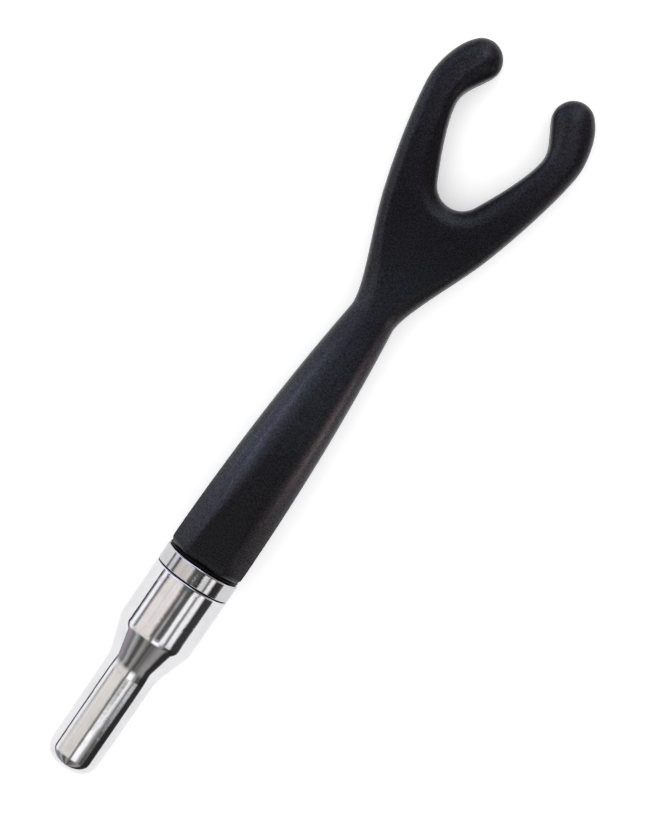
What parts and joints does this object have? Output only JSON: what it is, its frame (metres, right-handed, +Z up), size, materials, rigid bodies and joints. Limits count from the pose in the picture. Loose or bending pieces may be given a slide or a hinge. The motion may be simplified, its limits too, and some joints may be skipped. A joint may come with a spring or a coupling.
{
  "type": "violet ray electrode",
  "caption": "Forked electrode for a violet ray machine: black conductive silicone fork with bulb-ended tines on a chromed plug with a screw collar.",
  "frame": {"origin": "on the plug's axis, at the shoulder where the straight shank ends and the flare begins", "axes": "+Y along the axis from the shank to the tines, +X across the fork, +Z up out of the fork's plane"},
  "size_m": [0.036, 0.1676, 0.0164],
  "materials": {
    "chrome": "polished",
    "silicone": "matt, fine grained",
    "seal_rubber": "satin",
    "brass": "turned",
    "steel": "drawn"
  },
  "bodies": {
    "plug": {"plug_shell": "chrome"},
    "head": {"fork_head": "silicone", "seal_washer": "seal_rubber", "hub_insert": "brass", "core_rod": "steel", "foot_plate": "brass", "spring_washer": "steel", "lock_nut": "brass", "crimp_sleeve": "brass", "left_tine_wire": "steel", "right_tine_wire": "steel", "left_tip_bead": "brass", "right_tip_bead": "brass"},
    "collar": {"collar_ring": "chrome"}
  },
  "joints": [
    {"name": "head_lift", "type": "slide", "parent": "plug", "child": "head", "axis": [0, 1, 0], "range_m": [0, 0.00187]},
    {"name": "collar_turn", "type": "hinge", "parent": "head", "child": "collar", "pos_m": [0, 0.0246, 0], "axis": [0, 1, 0], "range_deg": [0, 900]}
  ],
  "couplings": [
    {"joint": "collar_turn", "follows": "head_lift", "rad_per_m": 8377.6}
  ]
}
